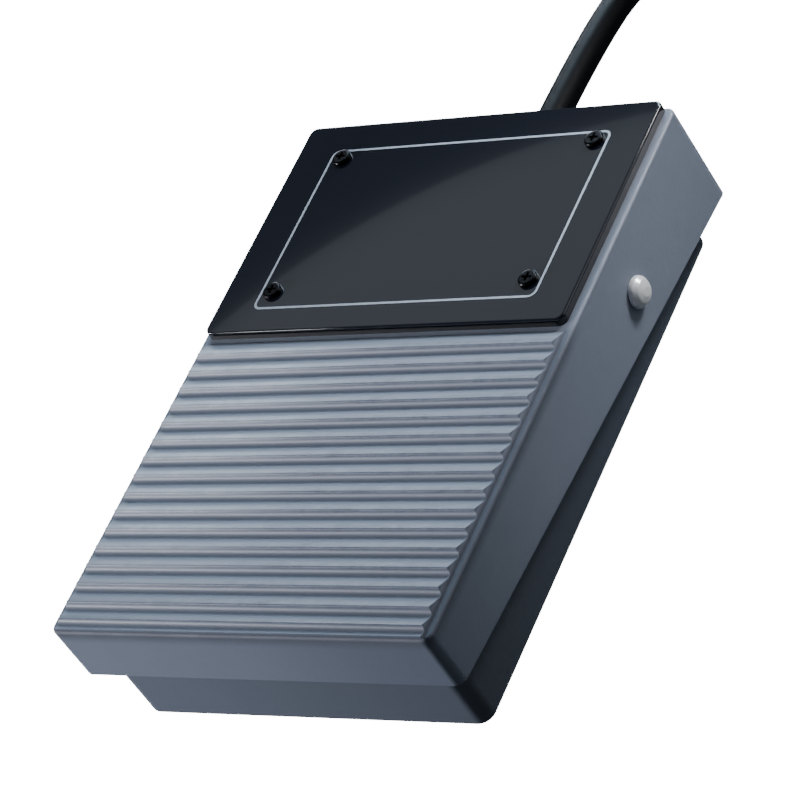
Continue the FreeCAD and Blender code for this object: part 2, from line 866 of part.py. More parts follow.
lever = body("switch_lever")
leaf = block("-lever_half", "lever_half", "-lever_long", 0)
pad(lever, outline(lever, "lever_leaf", "XY", 0, leaf), "lever_thick", "both")
pad(lever, rounds(lever, "lever_barrel", "YZ", 0, "lever_eye", (0, 0)), "lever_half * 2", "both")
pad(lever, rounds(lever, "lever_stub", "YZ", 0, "lever_pivot", (0, 0)), "(ear_near + case_wall) * 2 - 0.2", "both")
lever.Placement = Placement(
    Vector(0, size("lever_y"), size("lever_z")), Rotation(X_WAY, -size("lever_rise"))
)

blade = body("contact_blade")
blade_leaf = block("-blade_half", "blade_half", "blade_hinge - 0.3", "blade_end")
pad(blade, outline(blade, "blade_leaf", "XY", "blade_low", blade_leaf), "blade_high - blade_low")
buttons = rounds(blade, "blade_contacts", "XY", "(blade_low + blade_high) / 2", "contact_radius", (0, "contact_y"))
pad(blade, buttons, "blade_high - blade_low + contact_thick * 2", "both")


def terminal(name, pole, top, leaf_from=None, leaf_to=None, contact_level=None, contact_way="up"):
    """A strip that stands in the case's floor, with a leaf and a contact where it has one."""
    made = body(name)
    strip = block("-0.5", "0.5", pole + " - pole_half", pole + " + pole_half")
    pad(made, outline(made, name + "_strip", "XY", "pole_end", strip), "(%s) - pole_end" % top)
    if leaf_from:
        reach = block("-contact_radius", "contact_radius", leaf_from, leaf_to)
        pad(made, outline(made, name + "_leaf", "XY", "(%s) - leaf_thick" % top, reach), "leaf_thick")
        button = rounds(made, name + "_contact", "XY", contact_level, "contact_radius", (0, "contact_y"))
        pad(made, button, "contact_thick", contact_way)
    return made


terminal("terminal_common", "blade_hinge", "blade_low - 0.075")
open_leaf = "open_top - contact_thick"
terminal("terminal_open", "open_pole", open_leaf, "open_pole - pole_half", "contact_y + 0.8", open_leaf)
closed_leaf = "closed_low + contact_thick"
terminal(
    "terminal_closed",
    "closed_pole",
    closed_leaf + " + leaf_thick",
    "contact_y - 0.7",
    "closed_pole + pole_half",
    closed_leaf,
    "back",
)

# The switch's bracket, bent from sheet, and the screws that hold the switch and the bracket

bracket = body("switch_bracket")
corner_profile = [
    ("bracket_reach", "base_floor"),
    ("case_left", "base_floor"),
    ("case_left", "bracket_high"),
    ("case_left - sheet_thick", "bracket_high"),
    ("case_left - sheet_thick", "base_floor + sheet_thick"),
    ("bracket_reach", "base_floor + sheet_thick"),
]
pad(
    bracket,
    outline(bracket, "bracket_angle", "XZ", "-bracket_rear", corner_profile),
    "bracket_rear - bracket_front",
)
soften(
    bracket,
    "bracket_inner_bend",
    "bracket_bend",
    lambda e: along(e, Y_WAY) and abs(middle(e).x - number("case_left - sheet_thick")) < 0.01 and middle(e).z < 5,
)
bracket_holes = rounds(bracket, "bracket_floor_holes", "XY", "base_floor + sheet_thick", "small_screw", *floor_screws)
cut(bracket, bracket_holes, "sheet_thick")
side_holes = rounds(bracket, "bracket_side_holes", "YZ", "case_left", "switch_hole", *switch_holes)
cut(bracket, side_holes, "sheet_thick")


def screws_down(name, seat, head, head_thick, shank, end, spots, slot_half=0.2):
    """Slotted screws that go straight down through a seat."""
    made = body(name)
    pad(made, rounds(made, name + "_heads", "XY", seat, head, *spots), head_thick)
    soften(
        made,
        name + "_edges",
        "%s * 0.3" % head_thick,
        lambda e: middle(e).z > number(seat) + head_thick - 0.01,
        "Chamfer",
    )
    pad(made, rounds(made, name + "_shanks", "XY", seat, shank, *spots), "(%s) - (%s)" % (seat, end), "back")
    slots = [
        block("%s - %s" % (u, head), "%s + %s" % (u, head), "%s - %s" % (v, slot_half), "%s + %s" % (v, slot_half))
        for u, v in spots
    ]
    cut(made, outline(made, name + "_slots", "XY", "(%s) + %s" % (seat, head_thick), *slots), "%s * 0.45" % head_thick)
    return made


screws_down("bracket_screws", "base_floor + sheet_thick", 1.9, 1.2, "small_screw", "floor_screw_end", floor_screws)

long_screws = body("switch_screws")
heads = rounds(long_screws, "long_heads", "YZ", "case_right", 1.6, *switch_holes)
pad(long_screws, heads, 0.9)
long_shanks = rounds(long_screws, "long_shanks", "YZ", "case_right", "switch_hole - running_gap", *switch_holes)
pad(long_screws, long_shanks, "case_right - case_left + sheet_thick", "back")

# The controller board and what is soldered on it

board_top = "board_under + board_thick"
board = body("controller_board")
board_outline = block("board_left", "board_right", "board_front", "board_rear")
pad(board, outline(board, "board_edge", "XY", "board_under", board_outline), "board_thick")
soften(board, "board_corners", 1.0, lambda e: along(e, Z_WAY))
cut(board, rounds(board, "board_holes", "XY", board_top, "small_screw", *board_spots), "board_thick")
screws_down("board_screws", board_top, 1.9, 1.2, "small_screw", "floor_screw_end", board_spots)

chip = body("controller_chip")
chip_body = block("chip_x - chip_half", "chip_x + chip_half", "chip_y - chip_half", "chip_y + chip_half")
pad(chip, outline(chip, "chip_body", "XY", board_top + " + 0.15", chip_body), "chip_thick")
legs = []
for k in range(5):
    at = "%.2f" % (1.25 * (k - 2))
    legs.append(block("chip_x - chip_half - 0.9", "chip_x + chip_half + 0.9", "chip_y + %s - 0.2" % at, "chip_y + %s + 0.2" % at))
pad(chip, outline(chip, "chip_legs", "XY", board_top, *legs), 0.3)
soften(
    chip,
    "chip_edge",
    0.2,
    lambda e: all(abs(v.Point.z - number(board_top + " + 0.15 + chip_thick")) < 0.01 for v in e.Vertexes),
    "Chamfer",
)

crystal = body("crystal")
can = block("chip_x - 1.5", "chip_x + 6.5", "crystal_y - 1.8", "crystal_y + 1.8")
pad(crystal, outline(crystal, "crystal_can", "XY", board_top, can), 2.6)
soften(crystal, "crystal_ends", 1.75, lambda e: along(e, Z_WAY))

capacitor = body("capacitor")
pad(capacitor, rounds(capacitor, "capacitor_can", "XY", board_top, 2.0, ("capacitor_x", "capacitor_y")), 4.6)
soften(capacitor, "capacitor_rim", 0.35, lambda e: middle(e).z > number(board_top) + 4.5)

header = body("wire_header")
header_outline = block("header_left", "header_right", "header_front", "header_rear")
pad(header, outline(header, "header_body", "XY", board_top, header_outline), "header_high - (%s)" % board_top)
header_mouth = block("header_left + 0.6", "header_right - 0.6", board_top + " + 0.6", "header_high - 0.6")
cut(header, outline(header, "header_mouth", "XZ", "-header_rear", header_mouth), 3.4, "back")

# The wires inside the tub: two leads from the switch and the cord's four cores

lead_level = size("base_floor") + size("lead_radius") + 0.1
lead_end = number(board_top)
leads = []
for k, pole in enumerate(("blade_hinge", "open_pole")):
    side_x = 0.5 + size("lead_radius") + 0.02
    past = -8.4 - 1.6 * k
    drop_x = -9.4 + 1.7 * k
    land_y = -8.4 - 1.6 * k
    wire, _ = route(
        [
            Vector(side_x + 1.7 * k, size(pole), 6.9),
            Vector(side_x + 1.7 * k, size(pole), lead_level),
            Vector(side_x + 1.7 * k, past, lead_level),
            Vector(drop_x, past, lead_level),
            Vector(drop_x, past, 9.8),
            Vector(-13.4, land_y, 9.8),
            Vector(-13.4, land_y, lead_end),
        ]
    )
    leads.append(tube(wire, size("lead_radius")))
shaped("switch_leads", Part.makeCompound(leads))

core_start = 30.0
cores = []
for k, (side_x, rise) in enumerate(((-1.0, -1.0), (-1.0, 1.0), (1.0, -1.0), (1.0, 1.0))):
    end_x = -23.4 + 1.6 * k
    wire, _ = route(
        [
            Vector(side_x, core_start, size("cord_height") + rise),
            Vector(side_x, core_start - 4, size("cord_height") + rise),
            Vector(-8.0 + 2.2 * k, 16.5, 6.0),
            Vector(end_x + 4, 3.0, 6.4),
            Vector(end_x, -3.0, 9.2),
            Vector(end_x, -10.5, 9.2),
        ]
    )
    cores.append(tube(wire, size("core_radius")))
shaped("cable_cores", Part.makeCompound(cores))

# The cord clamp and the strain relief

clamp = body("cord_clamp")
clamp_bar = block("-clamp_half", "clamp_half", "clamp_front + 0.5", "clamp_rear - 0.5")
pad(clamp, outline(clamp, "clamp_bar", "XY", "cord_height + 0.1", clamp_bar), 3.4)
clamp_channel = rounds(clamp, "clamp_channel", "XZ", "-clamp_front", "cord_radius", (0, "cord_height"))
cut(clamp, clamp_channel, "clamp_rear - clamp_front")
cut(clamp, rounds(clamp, "clamp_bar_holes", "XY", "cord_height + 3.5", "clamp_screw", *clamp_spots), 3.4)
soften(clamp, "clamp_bar_ends", 1.2, lambda e: along(e, Z_WAY) and abs(middle(e).x) > 9)
screws_down("clamp_screws", "cord_height + 3.5", 2.3, 1.5, "clamp_screw", "clamp_screw_end", clamp_spots, 0.3)

relief = body("strain_relief")
flange_end = "base_rear + relief_flange_thick"
relief_profile = [
    ("cord_radius", "base_rear - base_wall - 2"),
    ("relief_flange", "base_rear - base_wall - 2"),
    ("relief_flange", "base_rear - base_wall"),
    ("relief_neck", "base_rear - base_wall"),
    ("relief_neck", "base_rear"),
    ("relief_flange", "base_rear"),
    ("relief_flange", flange_end),
    ("relief_root", flange_end),
]
slot_count = 3
for k in range(slot_count):
    share = (k + 1) / (slot_count + 1.0)
    outer = "relief_root - (relief_root - relief_tip) * %.3f" % share
    level = flange_end + " + (relief_end - base_rear - relief_flange_thick) * %.3f" % share
    relief_profile += [
        (outer, level + " - 0.6"),
        (outer + " - relief_slot", level + " - 0.6"),
        (outer + " - relief_slot", level + " + 0.6"),
        (outer, level + " + 0.6"),
    ]
relief_profile += [("relief_tip", "relief_end"), ("cord_radius", "relief_end")]
turned(relief, outline(relief, "relief_profile", "XY", 0, relief_profile))
relief.Placement = Placement(Vector(0, 0, size("cord_height")), Rotation())

# The cord: inside the relief, its lead to the coil, the coil and the tail to the plug

height = size("cord_height")
inner_cord = body("cord_inner")
jacket = rounds(inner_cord, "jacket", "XZ", "-relief_end", "cord_radius", (0, "cord_height"))
pad(inner_cord, jacket, "relief_end - %s" % core_start)


coil_turns = size("coil_turns")


def coil_place(turned_by):
    """A point of the coil, which runs in and out again layer by layer and climbs while it turns back."""
    each = coil_turns / 4
    layer = min(3, max(0, int(turned_by // each)))
    part_way = turned_by - layer * each
    radius = size("coil_outer") - size("coil_pitch") * (part_way if layer % 2 == 0 else each - part_way)
    climbed = sum(min(1.0, max(0.0, (turned_by - each * (k + 1)) * 2 + 0.5)) for k in range(3))
    angle = math.radians(size("coil_start")) + 2 * math.pi * turned_by
    return Vector(
        radius * math.cos(angle),
        size("coil_y") + radius * math.sin(angle),
        size("coil_rest") + size("coil_layer") * climbed,
    )


coil_in = coil_place(0)
coil_out = coil_place(coil_turns)
entry_way = (coil_place(0.001) - coil_in).normalize()
leaving_way = (coil_out - coil_place(coil_turns - 0.001)).normalize()
straight_end = 2 * size("cord_radius")

lead_points = [
    Vector(0, size("relief_end"), height),
    Vector(0, size("lead_corner"), height),
    coil_in - entry_way * (straight_end + size("lead_landing")),
    coil_in - entry_way * straight_end,
]
lead_wire, lead_radii = route(lead_points)
shaped("cord_lead", tube(lead_wire, size("cord_radius")))

coil_edges = [Part.LineSegment(lead_points[-1], coil_in).toShape()]
coil_edges += loops(coil_place, coil_turns, 4)
coil_edges.append(Part.LineSegment(coil_out, coil_out + leaving_way * straight_end).toShape())
coil_wire = Part.Wire(coil_edges)
shaped("cord_coil", tube(coil_wire, size("cord_radius")))

beyond = size("coil_y")
tail_points = [
    coil_out + leaving_way * straight_end,
    coil_out + leaving_way * (straight_end + size("tail_first")),
    Vector(33.4, beyond + 31.2, 13.0),
    Vector(25.4, beyond + 40.9, 7.4),
    Vector(13.1, beyond + 46.0, size("plug_axis")),
    Vector(-0.5, beyond + 46.0, size("plug_axis")),
]
plug_start = tail_points[-1]
tail_wire, tail_radii = route(tail_points)
shaped("cord_tail", tube(tail_wire, size("cord_radius")))

print("cord lead: radii " + ", ".join("%.0f" % r for r in lead_radii) + " mm")
print("cord tail: radii " + ", ".join("%.0f" % r for r in tail_radii) + " mm")
print("cord coil: least gap to itself %.2f mm" % least_gap(coil_wire, size("cord_radius"), 30))
free_length = lead_wire.Length + coil_wire.Length + tail_wire.Length
print("cord from the relief to the plug: %.0f mm" % free_length)

# The tie round the coil's turns

tie_inner = "coil_outer - coil_pitch * coil_turns / 4 - cord_radius - tie_gap"
tie_outer = "coil_outer + cord_radius + tie_gap"
tie_low = "coil_rest - cord_radius - tie_gap"
tie_high = "coil_rest + coil_layer * 3 + cord_radius + tie_gap"
tie = body("cord_tie")
tie_wall = [
    ("%s - tie_thick" % tie_inner, "%s - tie_thick + 0.1" % tie_low),
    ("%s + tie_thick" % tie_outer, "%s - tie_thick + 0.1" % tie_low),
    ("%s + tie_thick" % tie_outer, "%s + tie_thick" % tie_high),
    ("%s - tie_thick" % tie_inner, "%s + tie_thick" % tie_high),
]
pad(tie, outline(tie, "tie_outside", "XZ", 0, tie_wall), "tie_half * 2", "both")
window = block(tie_inner, tie_outer, tie_low, tie_high)
cut(tie, outline(tie, "tie_window", "XZ", "tie_half + 1", window), "tie_half * 2 + 2")
for name, radius, level in (("window_corners", 1.8, tie_high), ("tie_corners", 2.3, tie_high + " + tie_thick")):
    soften(tie, name, radius, lambda e: along(e, Y_WAY) and abs(middle(e).z - number(level)) < 0.01)
tie.Placement = Placement(Vector(0, size("coil_y"), 0), Rotation(Z_WAY, size("tie_turn")))

# The plug: moulded boot, pressed metal shell, inner tongue and four contacts

plug_place = Placement(plug_start, Rotation(Z_WAY, 180))
boot = body("plug_boot")
neck_root = sketch(boot, "neck_start", "YZ", 0)
neck_root.addGeometry(Part.Circle(Vector(0, 0, 0), Vector(0, 0, 1), 3.4))
neck_root.addConstraint(Sketcher.Constraint("Coincident", 0, 3, -1, 1))
neck_root.addConstraint(Sketcher.Constraint("Radius", 0, 3.4))
neck_top = rounds(boot, "neck_end", "YZ", "boot_neck + 0.4", 3.7, (0, 0))
neck = boot.newObject("PartDesign::AdditiveLoft", "neck")
neck.Profile = neck_root
neck.Sections = [neck_top]
neck.Ruled = True
doc.recompute()
grip = block("-boot_half", "boot_half", "-boot_deep", "boot_deep")
pad(boot, outline(boot, "grip_end", "YZ", "boot_neck", grip), "boot_long - boot_neck")
soften(boot, "grip_corners", "boot_round", lambda e: along(e, X_WAY) and e.Length > 10)
soften(
    boot,
    "grip_shoulder",
    1.0,
    lambda e: abs(middle(e).x - size("boot_neck")) < 0.01 and middle(e).Length > 8.0 and abs(middle(e).y) > 3.75
    or abs(middle(e).x - size("boot_neck")) < 0.01 and abs(middle(e).z) > 3.9,
)
recess = block("-shell_half", "shell_half", "-shell_deep", "shell_deep")
cut(boot, outline(boot, "shell_recess", "YZ", "boot_long", recess), "shell_in")
boot.Placement = plug_place

shell = body("plug_shell")
pad(shell, outline(shell, "shell_outside", "YZ", "boot_long - shell_in", recess), "shell_out + shell_in")
soften(shell, "shell_corners", 0.5, lambda e: along(e, X_WAY))
shell_hollow = block(
    "shell_thick - shell_half", "shell_half - shell_thick", "shell_thick - shell_deep", "shell_deep - shell_thick"
)
cut(shell, outline(shell, "shell_inside", "YZ", "boot_long + shell_out", shell_hollow), "shell_out + shell_in")
windows = [block("%s - 1.1" % spot, "%s + 1.1" % spot, "boot_long + 5.2", "boot_long + 7.4") for spot in ("-2.6", "2.6")]
turned_windows = [[(v, u) for u, v in loop] for loop in windows]
cut(shell, outline(shell, "shell_windows", "XY", 0, *turned_windows), 12, "both")
shell.Placement = plug_place

tongue = body("plug_tongue")
tongue_face = block("-tongue_half", "tongue_half", "shell_thick - shell_deep + 0.02", "shell_thick - shell_deep + tongue_thick")
pad(tongue, outline(tongue, "tongue_section", "YZ", "boot_long - shell_in", tongue_face), "shell_out + shell_in - 0.6")
tongue.Placement = plug_place

contacts = body("plug_contacts")
strips = []
for k in range(4):
    across = "%.2f" % (2.0 * (k - 1.5))
    strips.append(
        block("boot_long + 3", "boot_long + shell_out - 1.6", across + " - contact_wide", across + " + contact_wide")
    )
pad(contacts, outline(contacts, "contact_strips", "XY", "shell_thick - shell_deep + tongue_thick", *strips), 0.2)
contacts.Placement = plug_place

# Every object is checked before anything is written

doc.recompute()
for thing in doc.Objects:
    if "Invalid" in thing.State or "Error" in thing.State:
        raise RuntimeError("%s is %s" % (thing.Label, thing.State))
os.makedirs("parts", exist_ok=True)
for node in nodes:
    if node.Shape.isNull() or not node.Shape.isValid():
        raise RuntimeError(node.Label + " has no valid shape")
    node.Shape.exportStep("parts/%s.step" % node.Label)
    print("%-18s %2d solids %9.1f cubic mm" % (node.Label, len(node.Shape.Solids), node.Shape.Volume))
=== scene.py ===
"""Looks for the desk foot pedal: camera and studio first, then each piece in the order of assembly."""

import math

import bmesh
import bpy
from mathutils import Matrix, Vector


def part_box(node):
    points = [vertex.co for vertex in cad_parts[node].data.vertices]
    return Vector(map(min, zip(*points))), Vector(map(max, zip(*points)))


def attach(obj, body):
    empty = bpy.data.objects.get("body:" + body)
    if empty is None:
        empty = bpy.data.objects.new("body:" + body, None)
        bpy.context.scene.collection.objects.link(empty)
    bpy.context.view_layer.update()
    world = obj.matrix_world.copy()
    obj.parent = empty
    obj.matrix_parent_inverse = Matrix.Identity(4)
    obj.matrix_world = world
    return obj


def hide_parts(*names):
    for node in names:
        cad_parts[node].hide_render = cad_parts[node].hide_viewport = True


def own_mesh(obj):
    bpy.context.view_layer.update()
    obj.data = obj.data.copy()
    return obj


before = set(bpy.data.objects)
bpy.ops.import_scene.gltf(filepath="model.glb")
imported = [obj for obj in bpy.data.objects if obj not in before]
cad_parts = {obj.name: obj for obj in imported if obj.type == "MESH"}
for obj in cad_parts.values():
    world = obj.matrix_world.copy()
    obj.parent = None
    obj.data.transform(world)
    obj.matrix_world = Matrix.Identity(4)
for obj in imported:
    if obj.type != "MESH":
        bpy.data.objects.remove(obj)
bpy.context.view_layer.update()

# The camera looks down on the pedal from in front and to the right, through a long lens. It is rolled so
# that the pedal climbs from the lower left to the upper right, and its place is fitted to the photograph.

eye = Vector((0.33250, -0.29210, 0.35160))
right = Vector((0.80233, 0.37268, -0.46623))
up = Vector((0.02056, 0.76340, 0.64560))
camera = bpy.data.objects.new("camera", bpy.data.cameras.new("camera"))
camera.data.lens = 166.4
camera.data.sensor_width = 36.0
camera.data.clip_start = 0.01
camera.data.clip_end = 20.0
camera.matrix_world = Matrix.Translation(eye) @ Matrix((right, up, right.cross(up))).transposed().to_4x4()
bpy.context.scene.collection.objects.link(camera)
bpy.context.scene.camera = camera

# The studio is a white floor with white walls far round it, and soft lamps near the pedal. The black plate
# mirrors the edge of a wide dim disk, and the pin's domed head mirrors a card.

floor_reach = 8.0
wall_height = 8.0
sheet_glow = 16.0
sky_colour = (0.78, 0.88, 1.0, 1)
sky_strength = 0.085
disk_place = (-0.3589, 0.3068, 0.7725)
disk_faces = (0.5885, -0.5665, -0.5769)


class Value:
    """A socket of a material's nodes that can be reckoned with like a number."""

    def __init__(self, tree, socket):
        self.tree = tree
        self.socket = socket

    def worked(self, operation, *given):
        return add_node(self.tree, "Math", {"operation": operation}, dict(enumerate(given)))

    def __add__(self, other):
        return self.worked("ADD", self, other)

    __radd__ = __add__

    def __mul__(self, other):
        return self.worked("MULTIPLY", self, other)

    __rmul__ = __mul__

    def __sub__(self, other):
        return self.worked("SUBTRACT", self, other)

    def __rsub__(self, other):
        return self.worked("SUBTRACT", other, self)

    def __abs__(self):
        return self.worked("ABSOLUTE", self)

    def between(self, low, high):
        """0 below low, 1 above high, and a smooth step between them."""
        inputs = {"Value": self, "From Min": low, "From Max": high}
        return add_node(self.tree, "MapRange", {"interpolation_type": "SMOOTHSTEP"}, inputs)


def feed(tree, socket, value):
    """Links a value to a socket, or sets a plain number or colour on it."""
    if isinstance(value, Value):
        tree.links.new(value.socket, socket)
    else:
        socket.default_value = value


def add_node(tree, kind, settings, inputs, output=0):
    """Adds a node, sets it up, feeds its sockets and gives back one of its outputs."""
    made = tree.nodes.new("ShaderNode" + kind)
    for name, setting in settings.items():
        setattr(made, name, setting)
    for socket, value in inputs.items():
        feed(tree, made.inputs[socket], value)
    return Value(tree, made.outputs[output])


class Finish:
    """One material, made of a principled shader and the nodes that vary its inputs."""

    def __init__(self, name, **inputs):
        self.material = bpy.data.materials.new(name)
        self.material.use_nodes = True
        self.tree = self.material.node_tree
        self.shader = self.tree.nodes["Principled BSDF"]
        self.place = self.node("TexCoord", {}, {}, output="Object")
        self.set(**inputs)

    def node(self, kind, settings, inputs, output=0):
        """A new node of this material, as the value of one of its outputs."""
        return add_node(self.tree, kind, settings, inputs, output)

    def set(self, **inputs):
        """Feeds the shader's own inputs."""
        for name, value in inputs.items():
            feed(self.tree, self.shader.inputs[name.replace("_", " ")], value)

    def noise(self, size, detail=3.0, rough=0.5):
        """Cloudy noise from about 0 to 1 whose patches are size metres across."""
        inputs = {"Vector": self.place, "Scale": 1 / size, "Detail": detail, "Roughness": rough}
        return self.node("TexNoise", {}, inputs)

    def mix(self, amount, first, second):
        """The first colour where amount is 0, the second where it is 1."""
        return self.node("Mix", {"data_type": "RGBA"}, {0: amount, 6: first, 7: second}, output=2)

    def relief(self, height, depth):
        """Raises the surface by height times depth, in metres."""
        self.set(Normal=self.node("Bump", {}, {"Height": height, "Distance": depth}))

    def along(self, axis):
        """The place along one axis of the row frame, in metres."""
        return self.node("SeparateXYZ", {}, {"Vector": self.place}, output=axis)


floor_finish = Finish("floor", Base_Color=(0.9, 0.9, 0.9, 1), Roughness=0.9)
floor_finish.set(Emission_Color=(1, 1, 1, 1), Emission_Strength=sheet_glow)


def studio_sheet(name, corners, faces):
    """A white sheet of the studio, which lights nothing itself."""
    mesh = bpy.data.meshes.new(name)
    mesh.from_pydata(corners, [], faces)
    mesh.materials.append(floor_finish.material)
    made = bpy.data.objects.new(name, mesh)
    bpy.context.scene.collection.objects.link(made)
    made.visible_diffuse = False
    made.visible_glossy = False
    return made


square = [(x * floor_reach, y * floor_reach) for x, y in ((-1, -1), (1, -1), (1, 1), (-1, 1))]
studio_sheet("floor", [(x, y, 0) for x, y in square], [(0, 1, 2, 3)])
walls = studio_sheet(
    "backdrop",
    [(x, y, z) for z in (0, wall_height) for x, y in square],
    [(k, (k + 1) % 4, (k + 1) % 4 + 4, k + 4) for k in range(4)],
)
walls.visible_shadow = False

world = bpy.data.worlds.new("studio")
world.use_nodes = True
sky = world.node_tree.nodes["Background"]
sky.inputs["Color"].default_value = sky_colour
sky.inputs["Strength"].default_value = sky_strength
bpy.context.scene.world = world


def soft_light(name, place, aim, size, power, colour=(1, 1, 1), shape="SQUARE", spread=180):
    """A soft light at place that faces aim."""
    lamp = bpy.data.lights.new(name, "AREA")
    lamp.shape = shape
    lamp.size = size
    lamp.energy = power
    lamp.color = colour
    lamp.spread = math.radians(spread)
    made = bpy.data.objects.new(name, lamp)
    made.location = place
    made.rotation_euler = (Vector(aim) - Vector(place)).to_track_quat("-Z", "Y").to_euler()
    bpy.context.scene.collection.objects.link(made)


# The key hangs high behind the pedal and skims over the crests of the tread.
soft_light(
    "key",
    place=(-0.29, 0.92, 0.63),
    aim=(0, 0, 0),
    size=0.52,
    power=10.8,
    colour=(0.66, 0.83, 1.0),
    shape="DISK",
)
# Low lamps stand behind to the left, to the right of the pin, and in front to the left.
soft_light(
    "rear_lamp",
    place=(-0.38, 0.48, 0.12),
    aim=(0, 0, 0.02),
    size=0.10,
    power=0.45,
    colour=(0.8, 0.88, 1.0),
)
soft_light(
    "right_lamp",
    place=(0.12, 0.17, 0.12),
    aim=(0.0347, 0.025, 0.015),
    size=0.04,
    power=0.024,
    colour=(1.0, 0.98, 1.0),
    spread=40,
)
soft_light(
    "front_lamp",
    place=(-0.45, -0.27, 0.16),
    aim=(0, 0, 0.01),
    size=0.06,
    power=4.2,
    colour=(0.95, 0.94, 1.0),
)
# The card is mirrored in the pin's head, the edge lamp in the plate's rim and the disk in its face.
soft_light("card", place=(0.42, 0.30, 0.17), aim=(0.0355, 0.0216, 0.015), size=0.40, power=0.40)
soft_light("edge_lamp", place=(-0.345, -0.34, 0.24), aim=(0, 0, 0.02), size=0.03, power=0.12)
soft_light(
    "disk",
    place=disk_place,
    aim=[start + way for start, way in zip(disk_place, disk_faces)],
    size=0.728,
    power=0.52,
    colour=(0.88, 0.96, 1.0),
    shape="DISK",
)

# The base is a tray die-cast in aluminium, with a satin blue-grey paint and a fine orange peel in it. Its
# sides carry painted shade where the cover's skirt overhangs them, and its front right corner painted
# shade where the light falls off.

paint_patch = 0.012
gloss_patch = 0.003
gloss_change = 0.16
peel_size = 0.0007
grain_size = 0.00018
grain_share = 0.4
peel_depth = 0.000018
side_shade_x = (0.0300, 0.0316)
side_shade_amount = 0.8
base_corner_shade_x = (-0.030, 0.036)
base_corner_shade_y = (-0.052, -0.030)
base_corner_shade_amount = 0.45
base_roughness = 0.37


def shade(red, green, blue):
    """A colour as the eye reads it, 0 to 255, turned into the light that it stands for."""
    return tuple((part / 255) ** 2.2 for part in (red, green, blue)) + (1.0,)


def dress(finish, *nodes):
    """Gives CAD nodes a finish."""
    for name in nodes:
        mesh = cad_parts[name].data
        mesh.materials.clear()
        mesh.materials.append(finish.material)


def cast_paint(name, light, dark):
    """Satin paint over a casting: a colour in soft patches, an uneven gloss and a slight orange peel."""
    made = Finish(name)
    made.colour = made.mix(made.noise(paint_patch, detail=4.0, rough=0.6), light, dark)
    made.unevenness = made.noise(gloss_patch) * gloss_change
    grain = made.noise(grain_size, detail=2.0) * grain_share
    made.relief(made.noise(peel_size, detail=2.0) + grain, peel_depth)
    return made


base_finish = cast_paint("base_paint", shade(106, 113, 127), shade(98, 106, 119))
# Painted shade on the sides, where the cover's skirt overhangs them.
base_side_shade = abs(base_finish.along("X")).between(*side_shade_x)
base_finish.colour = base_finish.mix(base_side_shade * side_shade_amount, base_finish.colour, shade(58, 64, 74))
# Painted shade towards the front right corner, where the light falls off.
base_shade_to_front = 1 - base_finish.along("Y").between(*base_corner_shade_y)
base_corner_shade = base_finish.along("X").between(*base_corner_shade_x) * base_shade_to_front
base_corner_shade = base_corner_shade * base_corner_shade_amount
base_finish.colour = base_finish.mix(base_corner_shade, base_finish.colour, shade(62, 68, 78))
base_finish.set(Base_Color=base_finish.colour, Roughness=base_finish.unevenness + base_roughness)
dress(base_finish, "base_tray")

# The feet are four dark rubber discs, punched from sheet and glued in round recesses under the base.
# Their rubber is dull, with an open grain.

plastic_patch = 0.006
plastic_gloss_patch = 0.002
plastic_gloss_change = 0.12


def plastic(name, light, dark, roughness, grain=0.0004, depth=0.00001):
    """Moulded plastic or rubber: two close colours in soft patches, and a fine moulded grain."""
    made = Finish(name)
    made.set(
        Base_Color=made.mix(made.noise(plastic_patch), light, dark),
        Roughness=roughness + (made.noise(plastic_gloss_patch) - 0.5) * plastic_gloss_change,
    )
    made.relief(made.noise(grain, detail=2.0), depth)
    return made


foot_finish = plastic(
    "foot_rubber", shade(30, 30, 31), shade(22, 22, 23), roughness=0.75, grain=0.0005, depth=0.00002
)
dress(foot_finish, "rubber_feet")

# The switch's bracket, the cord's clamp, the washers on the pin, the adjusting screw with its nut, and the
# screws inside are zinc-plated steel, stamped, turned or cold-headed.

metal_patch = 0.002
metal_gloss_change = 0.15
scratch_depth = 0.000004


def metal(name, light, dark, roughness, scratch=0.0006):
    """Bare or plated metal with soft patches and fine scratches."""
    made = Finish(name, Metallic=1.0)
    made.set(
        Base_Color=made.mix(made.noise(metal_patch), light, dark),
        Roughness=roughness + made.noise(scratch, detail=4.0) * metal_gloss_change,
    )
    made.relief(made.noise(scratch), scratch_depth)
    return made


zinc_finish = metal("zinc_steel", shade(205, 207, 210), shade(182, 186, 192), roughness=0.3)
dress(zinc_finish, "switch_bracket", "bracket_screws", "switch_screws", "board_screws")
dress(zinc_finish, "cord_clamp", "clamp_screws", "pivot_washers", "actuator_screw", "actuator_nut")

# The microswitch is bought in: a black moulded case with a side cover, a red plunger, a lever and a snap
# blade of bare spring steel, and three brass terminals. Two long screws hold it on its bracket.

case_finish = plastic("switch_plastic", shade(40, 40, 43), shade(30, 30, 32), roughness=0.45)
plunger_finish = plastic("plunger_plastic", shade(176, 60, 44), shade(160, 48, 36), roughness=0.35)
spring_finish = metal("spring_steel", shade(178, 180, 184), shade(150, 152, 158), roughness=0.25)
brass_finish = metal("contact_brass", shade(226, 190, 120), shade(205, 168, 98), roughness=0.25)
dress(case_finish, "switch_case", "switch_cover")
dress(plunger_finish, "switch_plunger")
dress(spring_finish, "switch_lever", "contact_blade")
dress(brass_finish, "terminal_common", "terminal_open", "terminal_closed")

# The board is green glass laminate, screwed on the base's posts, and carries a chip and a capacitor in black
# epoxy, a crystal in a drawn can and a nylon header. Red insulated wires join it to the switch and the cord.

